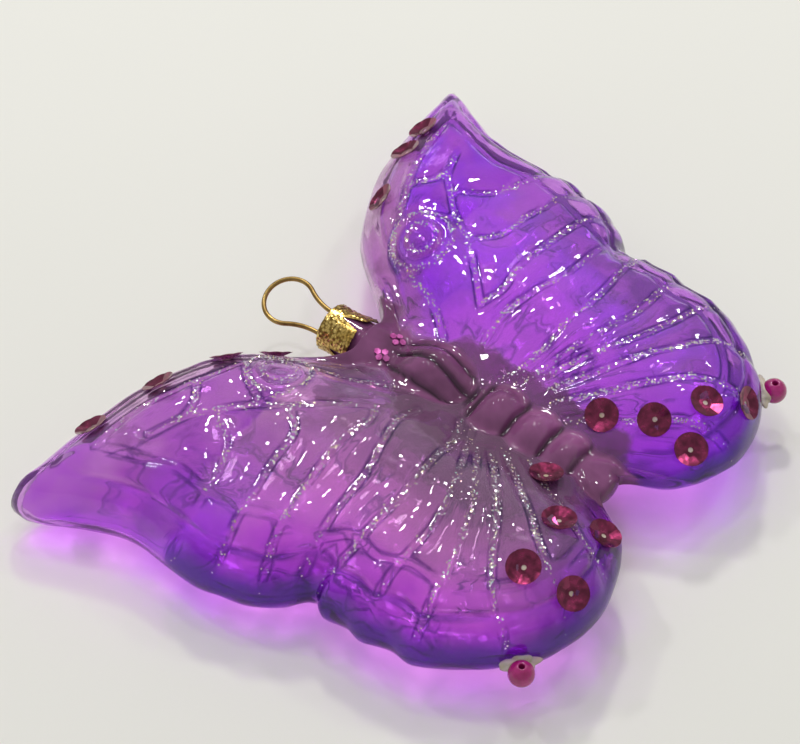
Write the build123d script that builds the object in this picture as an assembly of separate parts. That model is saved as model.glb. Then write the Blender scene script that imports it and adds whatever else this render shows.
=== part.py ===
from build123d import *
import math
import os

# Overall sizes of the blown glass butterfly, in millimetres
wingspan = 126.0
wing_depth = 95.5
half_span = wingspan / 2

# Right wing outline from the neck round to the tail, as shares of half the span and of the depth
corner_shares = [
    (0.083, 0.193), (0.254, 0.339), (0.357, 0.395), (0.540, 0.452),
    (0.754, 0.482), (0.889, 0.493), (1.000, 0.500), (0.983, 0.444), (0.930, 0.376),
    (0.882, 0.277), (0.892, 0.136), (0.848, 0.015), (0.797, -0.034), (0.743, -0.071),
    (0.767, -0.100), (0.754, -0.144), (0.767, -0.186), (0.740, -0.236), (0.744, -0.286),
    (0.698, -0.337), (0.619, -0.412), (0.540, -0.460), (0.444, -0.490), (0.333, -0.500),
    (0.238, -0.485), (0.162, -0.462), (0.105, -0.430), (0.050, -0.358),
]

# Swell of the wings above and below the mould seam, which droops towards the tips
seam_droop = 5.5
seam_power = 1.5
wing_crest = 11.5
wing_belly = 8.0
margin_width = 12.5
root_reach = 24.0
crest_root_share = 0.25
belly_root_share = 0.5

# Moulded veins fan out from the body, and an eyespot stands proud on each forewing
vein_height = 0.5
vein_rise_share = 0.35
vein_fade_share = 0.3
eyespot_height = 1.0
eyespot_radius = 6.0
eyespot_shares = (0.321, 0.237)

# Body lumps from the neck to the tail: place and length as shares of the body, height share
body_height = 7.5
body_width = 11.0
body_power = 1.4
body_taper_share = 0.4
root_first_share = 0.12
root_last_share = 0.90
fan_power = 1.7
belly_body_share = 0.95
lump_shares = [
    (0.00, 0.06, 0.70), (0.09, 0.06, 0.50), (0.27, 0.15, 1.00), (0.55, 0.10, 0.93),
    (0.70, 0.09, 0.86), (0.83, 0.08, 0.72), (0.96, 0.09, 0.50),
]
lump_power = 4
skin_power = 6

# Glass wall and neck
shoulder_height = 4.9
tail_height = 2.2
glass_wall = 1.0
edge_wall = 1.4
neck_radius = 4.3
neck_bore_radius = 3.4
neck_length = 8.2
shoulder_inside_share = 0.82
shoulder_wall = 0.8
tail_inside_share = 0.6
tail_wall = 3.0
tail_solid_corners = 3
head_solid_corners = 1

# Stamped metal cap with four petals
cap_fit = 0.08
cap_wall = 0.3
cap_dome = 1.1
cap_rim_gap = 1.2
cap_flare = 0.6
cap_grip = 3.0
petal_count = 4
petal_notch_width = 2.6
petal_notch_length = 4.6
petal_notch_bow_share = 0.35

# Wire hanger loop
wire_diameter = 0.9
wire_hole_fit = 0.08
wire_hole_spacing = 4.8
loop_radius = 4.7
loop_shoulder_radius = 12.4
loop_tilt_angle = 15.0
leg_straight = 4.5
leg_spread_radius = 28.0
leg_spread_angle = 10.0
leg_lead = 0.3

# Cup sequins with a flat centre, flat facets and a centre hole
sequin_diameter = 6.0
sequin_depth = 0.8
sequin_flat_radius = 1.2
sequin_hole_radius = 0.45
sequin_thickness = 0.2
sequin_lip = 0.1
sequin_rim_width = 0.5
sequin_facets = 8
sequin_sides = 16
sequin_place_shares = {
    "forewing_left": [(-0.746, 0.440), (-0.535, 0.398), (-0.351, 0.341), (-0.229, 0.292)],
    "forewing_right": [(0.734, 0.430), (0.615, 0.415), (0.405, 0.365)],
    "hindwing_left": [
        (-0.117, -0.273), (-0.257, -0.365), (-0.181, -0.427), (-0.448, -0.381), (-0.403, -0.461),
    ],
    "hindwing_right": [
        (0.149, -0.272), (0.203, -0.362), (0.205, -0.440), (0.315, -0.419), (0.421, -0.463),
    ],
}

# Clear glue under the sequins, and how far round a piece the glass is probed for its seat
glue_film = 0.12
glue_gap = 0.04
glue_radius = 0.9
seat_probes = 8
seat_reach = 12.0

# Round beads glued to the hindwing edges
bead_diameter = 4.6
bead_hole_diameter = 1.0
bead_tilt_angle = 20.0
bead_corner = 20
bead_gap = 0.25
bead_glue_radius = 1.5

# Eyes made of six-sided foil flakes
flake_radius = 0.65
flake_thickness = 0.1
flake_film = 0.05
flake_sides = 6
eye_shares = (0.035, 0.143)
flake_place_shares = [(0.1, 1.3), (1.2, -0.1), (-1.1, -0.4), (0.2, -1.7)]

# Points along each fan line of the wing, and the overrun of every cut
line_points = 12
rows_per_corner = 2
line_start_share = 0.45
line_even_share = 0.25
overrun = 1.0

corners = [Vector(x * half_span, y * wing_depth) for x, y in corner_shares]


def rounded(points):
    line = points[:1]
    for index in range(1, len(points)):
        before = points[max(0, index - 2)]
        after = points[min(len(points) - 1, index + 1)]
        chord = points[index - 1] + points[index]
        middle = (chord * 9 - before - after) / 16
        held_y = max(-wing_depth / 2, min(wing_depth / 2, middle.Y))
        line += [Vector(min(half_span, middle.X), held_y), points[index]]
    return line


outline = rounded(corners)
line_count = len(outline)
front_y = outline[0].Y
tail_y = outline[-1].Y
neck_end_y = front_y + neck_length


def ease(share):
    held = min(1, max(0, share))
    return held * held * (3 - 2 * held)


def seam_height(x):
    return -seam_droop * (abs(x) / half_span) ** seam_power


def edge_distance(point):
    gaps = []
    for start, end in zip(outline, outline[1:]):
        run = end - start
        along = min(1, max(0, (point - start).dot(run) / run.dot(run)))
        gaps.append((point - start - run * along).length)
    return min(gaps)


def margin_swell(point):
    inward = min(1, edge_distance(point) / margin_width)
    return math.sqrt(1 - (1 - inward) ** 2)


def body_rise(x, y):
    along = (front_y - y) / (front_y - tail_y)
    lumps = [high * math.exp(-(((along - place) / long) ** 2)) for place, long, high in lump_shares]
    top = body_height * sum(lump**lump_power for lump in lumps) ** (1 / lump_power)
    width = body_width * (1 - body_taper_share * along)
    return top * max(0, 1 - (x / width) ** 2) ** body_power


def skin_height(x, y, upper):
    point = Vector(x, y)
    root_share = crest_root_share if upper else belly_root_share
    crest = wing_crest if upper else wing_belly
    wing = crest * (root_share + (1 - root_share) * ease(x / root_reach)) * margin_swell(point)
    body = body_rise(x, y) * (1 if upper else belly_body_share)
    return (wing**skin_power + body**skin_power) ** (1 / skin_power)


def eyespot_rise(x, y):
    centre = Vector(eyespot_shares[0] * half_span, eyespot_shares[1] * wing_depth)
    return eyespot_height * math.exp(-(((Vector(x, y) - centre).length / eyespot_radius) ** 2))


def line_reach(along):
    spread = line_even_share * along + (1 - line_even_share) * ease(along)
    return line_start_share * spread + (1 - line_start_share) * math.sin(along * math.pi / 2)


def fan_line(index, upper):
    edge = outline[index]
    along_body = (index / rows_per_corner - 1) / (len(corners) - 3)
    root_share = root_first_share + (root_last_share - root_first_share) * along_body
    root_y = front_y + (tail_y - front_y) * root_share
    vein = -vein_height * math.cos(math.pi * index / rows_per_corner)
    points = []
    for step in range(line_points):
        along = step / line_points
        reach = line_reach(along)
        x = edge.X * reach
        y = root_y + (edge.Y - root_y) * reach**fan_power
        relief = vein * ease(along / vein_rise_share) * ease((1 - along) / vein_fade_share)
        rise = skin_height(x, y, upper) + relief
        if upper:
            rise += eyespot_rise(x, y)
        points.append(Vector(x, y, seam_height(x) + (rise if upper else -rise)))
    points.append(Vector(edge.X, edge.Y, seam_height(edge.X)))
    return points


def end_line(index, height, upper):
    edge = outline[index]
    points = []
    for step in range(line_points + 1):
        turn = step / line_points * math.pi / 2
        rise = height * math.cos(turn)
        points.append(Vector(edge.X * math.sin(turn), edge.Y, rise if upper else -rise))
    return points


def inner_line(lines, index, upper):
    inside = []
    before = lines[max(0, index - 1)]
    after = lines[min(line_count - 1, index + 1)]
    for step in range(line_points):
        point = lines[index][step]
        inner_side = lines[index][step - 1] if step else mirrored(lines[index][1])
        normal = (lines[index][step + 1] - inner_side).cross(after[step] - before[step]).normalized()
        if (normal.Z > 0) != upper:
            normal = -normal
        moved = point - normal * glass_wall
        inside.append(moved if step else Vector(0, moved.Y, moved.Z))
    edge = lines[index][-1]
    along_edge = (after[-1] - before[-1]).normalized()
    inside.append(edge + Vector(along_edge.Y, -along_edge.X).normalized() * edge_wall)
    return inside


def mirrored(point):
    return Vector(-point.X, point.Y, point.Z)


def shrunk(line, share, y):
    return [Vector(point.X * share, y, point.Z * share) for point in line]


def ring(upper_line, lower_line):
    right = upper_line + lower_line[-2::-1]
    return right + [mirrored(point) for point in right[-2:0:-1]]


def facet(*points):
    return Face(Wire.make_polygon(points))


def skin(upper_lines, lower_lines):
    rings = [ring(top, under) for top, under in zip(upper_lines, lower_lines)]
    facets = []
    for near, far in zip(rings, rings[1:]):
        for step in range(len(near)):
            facets.append(facet(near[step - 1], near[step], far[step]))
            facets.append(facet(near[step - 1], far[step], far[step - 1]))
    return facets, Wire.make_polygon(rings[0]), facet(*rings[-1])


# Glass shell: an outer and an inner skin joined round the shoulder, and a neck on the shoulder
upper_lines = [fan_line(index, True) for index in range(line_count)]
lower_lines = [fan_line(index, False) for index in range(line_count)]
for lines, upper in ((upper_lines, True), (lower_lines, False)):
    lines[0] = end_line(0, shoulder_height, upper)
    lines[-1] = end_line(-1, tail_height, upper)
    lines[1] = [(before + after) / 2 for before, after in zip(lines[0], lines[2])]
    lines[-2] = [(before + after) / 2 for before, after in zip(lines[-3], lines[-1])]
hollow_start = head_solid_corners * rows_per_corner
hollow_end = line_count - tail_solid_corners * rows_per_corner
hollow_lines = range(hollow_start, hollow_end, rows_per_corner)
inner_upper = [inner_line(upper_lines, index, True) for index in hollow_lines]
inner_lower = [inner_line(lower_lines, index, False) for index in hollow_lines]
for inner, outer in ((inner_upper, upper_lines), (inner_lower, lower_lines)):
    inner.insert(0, shrunk(outer[0], shoulder_inside_share, front_y - shoulder_wall))
    inner.append(shrunk(outer[-1], tail_inside_share, tail_y + tail_wall))

outer_facets, outer_front, outer_tail = skin(upper_lines, lower_lines)
inner_facets, inner_front, inner_tail = skin(inner_upper, inner_lower)
neck_plane = Plane((0, front_y, 0), x_dir=(1, 0, 0), z_dir=(0, 1, 0))
end_plane = neck_plane.offset(neck_length)
neck_edge = Edge.make_circle(neck_radius, neck_plane)
bore_edge = Edge.make_circle(neck_bore_radius, neck_plane.offset(-shoulder_wall))
neck_wall = Face.extrude(neck_edge, (0, neck_length, 0))
bore_wall = Face.extrude(bore_edge, (0, neck_length + shoulder_wall, 0))
mouth_edges = [Edge.make_circle(radius, end_plane) for radius in (neck_radius, neck_bore_radius)]
neck_end = Face(Wire([mouth_edges[0]]), [Wire([mouth_edges[1]])])
shoulder = Face(outer_front, [Wire([neck_edge])])
inner_shoulder = Face(inner_front, [Wire([bore_edge])])
ends = [outer_tail, inner_tail, shoulder, inner_shoulder, neck_wall, bore_wall, neck_end]
glass_shell = Solid(Shell(outer_facets + inner_facets + ends))
rest_height = -glass_shell.bounding_box().min.Z


# Hanger cap: a drawn dome and skirt, notched into petals, with two holes for the wire
cap_inner_radius = neck_radius + cap_fit
cap_top_y = neck_end_y + cap_wall + cap_dome
cap_rim_y = front_y + cap_rim_gap
cap_grip_y = cap_top_y - cap_dome - cap_grip
cap_rim_radius = cap_inner_radius + cap_flare
tilt = Rot(0, -loop_tilt_angle, 0)


def cap_profile(offset, top_y):
    radius = cap_inner_radius + offset
    sphere_radius = (radius**2 + cap_dome**2) / (2 * cap_dome)
    half_turn = math.asin(radius / sphere_radius) / 2
    crown_middle = (sphere_radius * math.sin(half_turn), top_y - sphere_radius * (1 - math.cos(half_turn)))
    crown = ThreePointArc((0, top_y), crown_middle, (radius, top_y - cap_dome))
    grip = Line((radius, top_y - cap_dome), (radius, cap_grip_y))
    flare = Line((radius, cap_grip_y), (cap_rim_radius + offset, cap_rim_y))
    return [crown, grip, flare]


def petal_notch():
    half = petal_notch_width / 2
    tip_y = cap_rim_y + petal_notch_length
    bow = (half * petal_notch_bow_share, (cap_rim_y + tip_y) / 2)
    end_y = cap_rim_y - overrun
    right = ThreePointArc((0, tip_y), bow, (half, cap_rim_y))
    left = ThreePointArc((0, tip_y), (-bow[0], bow[1]), (-half, cap_rim_y))
    open_end = Polyline((half, cap_rim_y), (half, end_y), (-half, end_y), (-half, cap_rim_y))
    return extrude(make_face([right, open_end, left]), cap_rim_radius + cap_wall + overrun)


cap_rim = Line((cap_rim_radius, cap_rim_y), (cap_rim_radius + cap_wall, cap_rim_y))
cap_axis = Line((0, cap_top_y - cap_wall), (0, cap_top_y))
cap_lines = cap_profile(cap_wall, cap_top_y) + cap_profile(0, cap_top_y - cap_wall)
hanger_cap = revolve(make_face(cap_lines + [cap_rim, cap_axis]), Axis.Y)
for petal in range(petal_count):
    hanger_cap -= Rot(0, 360 * (petal + 1 / 2) / petal_count, 0) * petal_notch()
hole_plane = Plane((0, cap_top_y + overrun, 0), x_dir=(1, 0, 0), z_dir=(0, -1, 0))
for side in (-1, 1):
    hole = Pos(side * wire_hole_spacing / 2, 0) * Circle(wire_diameter / 2 + wire_hole_fit)
    hanger_cap -= tilt * extrude(hole_plane * hole, cap_dome + cap_wall + 2 * overrun)


# Hanger wire: a round loop on two shoulders, with legs that spread inside the neck
leg_x = wire_hole_spacing / 2
shoulder_y = cap_top_y + leg_lead
leg_end_y = cap_top_y - leg_straight
reach_sum = loop_radius + loop_shoulder_radius
loop_rise = math.sqrt(reach_sum**2 - (leg_x + loop_shoulder_radius) ** 2)
loop_centre_y = shoulder_y + loop_rise
shoulder_angle = math.asin(loop_rise / reach_sum)
spread_angle = math.radians(leg_spread_angle)


def shoulder_point(side, angle):
    x = leg_x + loop_shoulder_radius * (1 - math.cos(angle))
    return (side * x, shoulder_y + loop_shoulder_radius * math.sin(angle))


def leg_point(side, angle):
    x = leg_x + leg_spread_radius * (1 - math.cos(angle))
    return (side * x, leg_end_y - leg_spread_radius * math.sin(angle))


def half_loop(side):
    leg_end, leg_middle, leg_top = [leg_point(side, spread_angle * share) for share in (1, 1 / 2, 0)]
    foot, middle, join = [shoulder_point(side, shoulder_angle * share) for share in (0, 1 / 2, 1)]
    leg = ThreePointArc(leg_end, leg_middle, leg_top)
    return [leg, Line(leg_top, foot), ThreePointArc(foot, middle, join)]


loop_joins = [shoulder_point(side, shoulder_angle) for side in (1, -1)]
loop_arc = ThreePointArc(loop_joins[0], (0, loop_centre_y + loop_radius), loop_joins[1])
wire_path = Wire(half_loop(1) + [loop_arc] + half_loop(-1))
wire_section = Plane(wire_path @ 0, z_dir=wire_path % 0) * Circle(wire_diameter / 2)
hanger_wire = tilt * sweep(wire_section, path=wire_path)


# Places on the glass, and how high a piece sits there on its film of glue
facet_middles = [(face, face.center()) for face in outer_facets]


def glass_hit(facets, origin, direction):
    probe = Axis(origin, direction)
    hits = [hit for face in facets for hit in face.find_intersection_points(probe)]
    return max(hits, key=lambda hit: hit[0].dot(direction))


def ring_rise(facets, seat, radius):
    rises = []
    for turn in range(seat_probes):
        angle = 2 * math.pi * turn / seat_probes
        probe = seat.from_local_coords(Vector(radius * math.cos(angle), radius * math.sin(angle), 0))
        rises.append((glass_hit(facets, probe, seat.z_dir)[0] - seat.origin).dot(seat.z_dir))
    return max(rises)


def glass_seat(x, y):
    near = [face for face, middle in facet_middles if math.hypot(middle.X - x, middle.Y - y) < seat_reach]
    point, normal = glass_hit(near, (x, y, 0), Vector(0, 0, 1))
    return near, Plane(point, z_dir=normal if normal.Z > 0 else -normal)


# Cup sequins, each on a dot of glue
def circle_points(radius, height, sides):
    turns = [2 * math.pi * step / sides for step in range(sides)]
    return [Vector(radius * math.cos(turn), radius * math.sin(turn), height) for turn in turns]


def cup_sequin():
    radius = sequin_diameter / 2
    outside = [
        circle_points(sequin_flat_radius + sequin_lip, 0, sequin_sides),
        circle_points(radius, sequin_depth, sequin_sides),
    ]
    inside = [
        circle_points(sequin_flat_radius, sequin_thickness, sequin_facets),
        circle_points(radius - sequin_rim_width, sequin_depth, sequin_facets),
    ]
    hole = [circle_points(sequin_hole_radius, height, sequin_facets) for height in (0, sequin_thickness)]
    faces = []
    for low, high in (outside, inside, hole):
        faces += [facet(low[step - 1], low[step], high[step], high[step - 1]) for step in range(len(low))]
    for edge, opening in ((outside[0], hole[0]), (outside[1], inside[1]), (inside[0], hole[1])):
        faces.append(Face(Wire.make_polygon(edge), [Wire.make_polygon(opening)]))
    return Solid(Shell(faces))


def seat_sequin(place):
    facets, seat = glass_seat(place[0] * half_span, place[1] * wing_depth)
    flat_rise = ring_rise(facets, seat, sequin_flat_radius + sequin_lip)
    rim_rise = ring_rise(facets, seat, sequin_diameter / 2) - sequin_depth
    dot_rise = max(0, ring_rise(facets, seat, glue_radius))
    lift = glue_film + max(0, flat_rise, rim_rise)
    dot = seat.offset(lift) * extrude(RegularPolygon(glue_radius, sequin_sides), dot_rise + glue_gap - lift)
    return seat.offset(lift) * sequin, dot


sequin = cup_sequin()
nodes = {"glass_shell": glass_shell, "hanger_cap": hanger_cap, "hanger_wire": hanger_wire}
for wing, places in sequin_place_shares.items():
    dots = []
    for number, place in enumerate(places, 1):
        nodes[f"sequin_{wing}_{number}"], dot = seat_sequin(place)
        dots += dot.solids()
    nodes[f"sequin_glue_{wing}"] = Compound(dots)

# Tail beads, each glued to the edge of a hindwing
bead = Sphere(bead_diameter / 2) - Cylinder(bead_hole_diameter / 2, 2 * bead_diameter)
bead_start = corners[bead_corner]
bead_run = corners[bead_corner + 1] - bead_start
bead_out = Vector(-bead_run.Y, bead_run.X).normalized()
bead_foot = outline[rows_per_corner * bead_corner + 1]
bead_seam_height = seam_height(bead_foot.X)
bead_stand = bead_out * (bead_diameter / 2 + bead_gap)
bead_centre = bead_foot + bead_stand + Vector(0, 0, bead_seam_height)
bead_lean = Axis((0, 0, 0), bead_out.cross(Vector(0, 0, 1)))
bead_axis = Plane(bead_centre, z_dir=Vector(0, 0, 1).rotate(bead_lean, -bead_tilt_angle))
tail_bead = bead_axis * bead
bead_glue = Pos(*(bead_centre - bead_out * bead_diameter / 2)) * Sphere(bead_glue_radius)
bead_glue = bead_glue - bead_axis * Sphere(bead_diameter / 2) - glass_shell
for side, name in ((1, "right"), (-1, "left")):
    nodes[f"tail_bead_{name}"] = tail_bead if side > 0 else mirror(tail_bead, about=Plane.YZ)
    nodes[f"bead_glue_{name}"] = bead_glue if side > 0 else mirror(bead_glue, about=Plane.YZ)

# Eyes: a cluster of foil flakes on each side of the head
flake = extrude(RegularPolygon(flake_radius, flake_sides), flake_thickness)
flakes = []
for place in flake_place_shares:
    x = eye_shares[0] * half_span + place[0] * flake_radius
    y = eye_shares[1] * wing_depth + place[1] * flake_radius
    facets, seat = glass_seat(x, y)
    lift = flake_film + max(0, ring_rise(facets, seat, flake_radius))
    flakes.append((seat.offset(lift) * flake).solid())
nodes["eye_flakes_right"] = Compound(flakes)
nodes["eye_flakes_left"] = mirror(Compound(flakes), about=Plane.YZ)

os.makedirs("parts", exist_ok=True)
for name, shape in nodes.items():
    export_step(Pos(0, 0, rest_height) * shape, f"parts/{name}.step")
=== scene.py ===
import math
import random

import bmesh
import bpy
import numpy as np
from mathutils import Matrix, Vector, noise


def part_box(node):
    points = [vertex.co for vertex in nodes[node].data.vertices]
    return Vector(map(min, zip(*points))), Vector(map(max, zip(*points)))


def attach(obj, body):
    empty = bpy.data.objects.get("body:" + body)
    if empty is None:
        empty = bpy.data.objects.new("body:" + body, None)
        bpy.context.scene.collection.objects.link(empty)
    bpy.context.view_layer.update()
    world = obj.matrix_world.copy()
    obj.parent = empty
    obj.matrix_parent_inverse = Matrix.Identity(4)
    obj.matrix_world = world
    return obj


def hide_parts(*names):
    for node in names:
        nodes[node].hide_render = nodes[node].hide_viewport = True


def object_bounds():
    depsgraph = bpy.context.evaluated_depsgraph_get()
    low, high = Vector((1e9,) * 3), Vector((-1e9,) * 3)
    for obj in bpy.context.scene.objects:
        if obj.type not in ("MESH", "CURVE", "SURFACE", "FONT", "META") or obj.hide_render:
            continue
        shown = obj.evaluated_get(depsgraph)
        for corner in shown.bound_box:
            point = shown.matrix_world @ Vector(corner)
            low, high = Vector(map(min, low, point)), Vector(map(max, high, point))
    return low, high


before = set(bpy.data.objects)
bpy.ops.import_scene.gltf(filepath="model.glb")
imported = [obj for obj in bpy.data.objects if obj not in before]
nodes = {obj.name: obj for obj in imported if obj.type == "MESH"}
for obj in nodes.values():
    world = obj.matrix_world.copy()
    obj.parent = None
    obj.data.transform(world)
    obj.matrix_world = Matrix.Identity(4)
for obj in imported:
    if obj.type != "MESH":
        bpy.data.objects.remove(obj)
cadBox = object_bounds()
mm = 0.001
capLow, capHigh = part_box("hanger_cap")
axisHeight = (capLow.z + capHigh.z) / 2 / mm  # height of the neck's axis above the table
print("frame loaded, neck axis at", round(axisHeight, 3), "mm")


# small helpers for meshes and node trees
def ease(share):
    held = np.clip(share, 0, 1)
    return held * held * (3 - 2 * held)


def bell(gap, width):
    return np.exp(-((gap / width) ** 2))


def curveThrough(points, places):
    # smooth curve through points, read at places counted in points
    points = np.asarray(points, float)
    ends = np.vstack([2 * points[0] - points[1], points, 2 * points[-1] - points[-2]])
    index = np.clip(np.floor(places).astype(int), 0, len(points) - 2)
    t = (places - index)[:, None]
    a, b, c, d = (ends[index + k] for k in range(4))
    return 0.5 * (2 * b + (c - a) * t + (2 * a - 5 * b + 4 * c - d) * t**2 + (3 * b - a - 3 * c + d) * t**3)


def fineLine(points, steps=8):
    return curveThrough(points, np.linspace(0, len(points) - 1, steps * (len(points) - 1) + 1))


def distanceTo(points, line):
    nearest = np.full(len(points), np.inf)
    for start, end in zip(line, line[1:]):
        run = end - start
        along = np.clip((points - start) @ run / (run @ run), 0, 1)
        gap = points - start - along[:, None] * run
        nearest = np.minimum(nearest, np.hypot(gap[:, 0], gap[:, 1]))
    return nearest


def wobble(points, size, seed):
    # smooth noise of about -1 to 1 at each point, for waves of that size in millimetres
    shift = Vector((seed * 7.3, seed * 3.1, seed * 5.7))
    return np.array([noise.noise(Vector(p) / size + shift) for p in points])


def makeMesh(name, points, faces, smooth=True):
    mesh = bpy.data.meshes.new(name)
    mesh.from_pydata([tuple(p) for p in np.asarray(points) * mm], [], [tuple(f) for f in faces])
    mesh.validate()
    shape = bmesh.new()
    shape.from_mesh(mesh)
    bmesh.ops.recalc_face_normals(shape, faces=shape.faces)
    shape.to_mesh(mesh)
    shape.free()
    mesh.update()
    mesh.polygons.foreach_set("use_smooth", [smooth] * len(mesh.polygons))
    piece = bpy.data.objects.new(name, mesh)
    bpy.context.scene.collection.objects.link(piece)
    return piece


def tubeFaces(rows, around):
    # quads of a grid that closes on itself around
    index = np.arange(rows * around).reshape(rows, around)
    turned = np.roll(index, -1, 1)
    return np.stack([index[:-1], turned[:-1], turned[1:], index[1:]], 2).reshape(-1, 4).tolist()


def acrossOf(up):
    # two directions square to up
    side = np.cross(up, (0.3, 0.8, 0.5))
    side /= np.linalg.norm(side)
    return side, np.cross(up, side)


def setMask(piece, name, values):
    mask = piece.data.attributes.new(name, "FLOAT", "POINT")
    mask.data.foreach_set("value", np.asarray(values, np.float32))


def place(piece, body, node=None):
    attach(piece, body)
    if node:
        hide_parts(node)


def newMaterial(name):
    material = bpy.data.materials.new(name)
    material.use_nodes = True
    tree = material.node_tree
    return material, tree, tree.nodes["Principled BSDF"]


def wire(tree, source, target):
    tree.links.new(source, target)


def feed(tree, socket, value):
    # a linked output, a colour or a plain number into one socket
    if hasattr(value, "is_linked"):
        wire(tree, value, socket)
    else:
        socket.default_value = (*value, 1) if isinstance(value, tuple) else value


def maskNode(tree, name):
    made = tree.nodes.new("ShaderNodeAttribute")
    made.attribute_name = name
    return made.outputs["Fac"]


def ramp(tree, source, stops):
    made = tree.nodes.new("ShaderNodeValToRGB")
    ends = made.color_ramp.elements
    while len(ends) < len(stops):
        ends.new(0.5)
    for element, (spot, colour) in zip(ends, stops):
        element.position = spot
        element.color = (*colour, 1) if isinstance(colour, tuple) else (colour, colour, colour, 1)
    wire(tree, source, made.inputs["Fac"])
    return made.outputs["Color"]


def mixColour(tree, factor, first, second):
    made = tree.nodes.new("ShaderNodeMix")
    made.data_type = "RGBA"
    sockets = {socket.identifier: socket for socket in made.inputs}
    feed(tree, sockets["Factor_Float"], factor)
    feed(tree, sockets["A_Color"], first)
    feed(tree, sockets["B_Color"], second)
    return next(socket for socket in made.outputs if socket.identifier == "Result_Color")


def calc(tree, how, first, second):
    made = tree.nodes.new("ShaderNodeMath")
    made.operation = how
    feed(tree, made.inputs[0], first)
    feed(tree, made.inputs[1], second)
    return made.outputs["Value"]


def grain(tree, scale, detail=2.0, rough=0.5):
    made = tree.nodes.new("ShaderNodeTexNoise")
    wire(tree, tree.nodes.new("ShaderNodeTexCoord").outputs["Object"], made.inputs["Vector"])
    made.inputs["Scale"].default_value = scale
    made.inputs["Detail"].default_value = detail
    made.inputs["Roughness"].default_value = rough
    return made.outputs["Fac"]


def cells(tree, scale):
    made = tree.nodes.new("ShaderNodeTexVoronoi")
    wire(tree, tree.nodes.new("ShaderNodeTexCoord").outputs["Object"], made.inputs["Vector"])
    made.inputs["Scale"].default_value = scale
    return made.outputs["Distance"]


def addBump(tree, shader, height, strength, distance):
    made = tree.nodes.new("ShaderNodeBump")
    made.inputs["Strength"].default_value = strength
    made.inputs["Distance"].default_value = distance
    wire(tree, height, made.inputs["Height"])
    wire(tree, made.outputs["Normal"], shader.inputs["Normal"])


# blown glass butterfly
glass = {
    # right wing outline from the neck round to the tail, shares of half the span and of the depth
    "outlineShares": [
        (0.083, 0.193), (0.254, 0.339), (0.357, 0.395), (0.540, 0.452), (0.754, 0.482), (0.889, 0.493),
        (1.000, 0.500), (0.983, 0.444), (0.930, 0.376), (0.882, 0.277), (0.892, 0.136), (0.848, 0.015),
        (0.797, -0.034), (0.743, -0.071), (0.767, -0.100), (0.754, -0.144), (0.767, -0.186),
        (0.740, -0.236), (0.744, -0.286), (0.698, -0.337), (0.619, -0.412), (0.540, -0.460),
        (0.444, -0.490), (0.333, -0.500), (0.238, -0.485), (0.162, -0.462), (0.105, -0.430), (0.050, -0.358),
    ],
    "wingDepth": 95.5, "seamDroop": 5.5, "seamPower": 1.5,
    "wingCrest": 11.5, "wingBelly": 8.0, "marginWidth": 12.5,
    "rootReach": 24.0, "crestRootShare": 0.25, "bellyRootShare": 0.5, "skinPower": 6,
    "bodyHeight": 7.5, "bodyWidth": 11.0, "bodyPower": 1.4, "bodyTaperShare": 0.4, "bellyBodyShare": 0.95,
    # body lumps: place, length and height as shares
    "lumpShares": [
        (0.00, 0.06, 0.70), (0.09, 0.06, 0.50), (0.27, 0.15, 1.00), (0.55, 0.10, 0.93),
        (0.70, 0.09, 0.86), (0.83, 0.08, 0.72), (0.96, 0.09, 0.50),
    ],
    "lumpPower": 4, "rootFirstShare": 0.12, "rootLastShare": 0.90, "fanPower": 1.7,
    "lineStartShare": 0.45, "lineEvenShare": 0.25,
    "shoulderHeight": 4.9, "tailHeight": 2.2, "tailRound": 1.0,
    "neckRadius": 4.3, "boreRadius": 3.4, "neckLength": 8.2, "lip": 0.3, "wall": 1.0,
    "rows": 214, "topColumns": 110, "underColumns": 55, "innerRows": 58, "tailRows": 5, "hollowEnd": 24.3,
    "hollowClose": 0.5, "hollowEdge": 0.1,
    "seatSpread": 3.2, "seatFilm": 0.12,
    # where the paints and the painted shade begin and how softly, in millimetres; body paint in shares of the height
    "paintEdge": (0.5, 0.35), "neckPaint": (3, 9), "eyeShadeGap": 0.6, "leadPoints": 50,
    "stainReach": (12, 6), "stainStart": 6, "stainFull": 1.1, "stainBack": (38, 8), "stainFront": (12, 10),
    "paleLead": (5, 5), "paleTip": (38, 14), "tintTurn": (4, 20),
}
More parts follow.
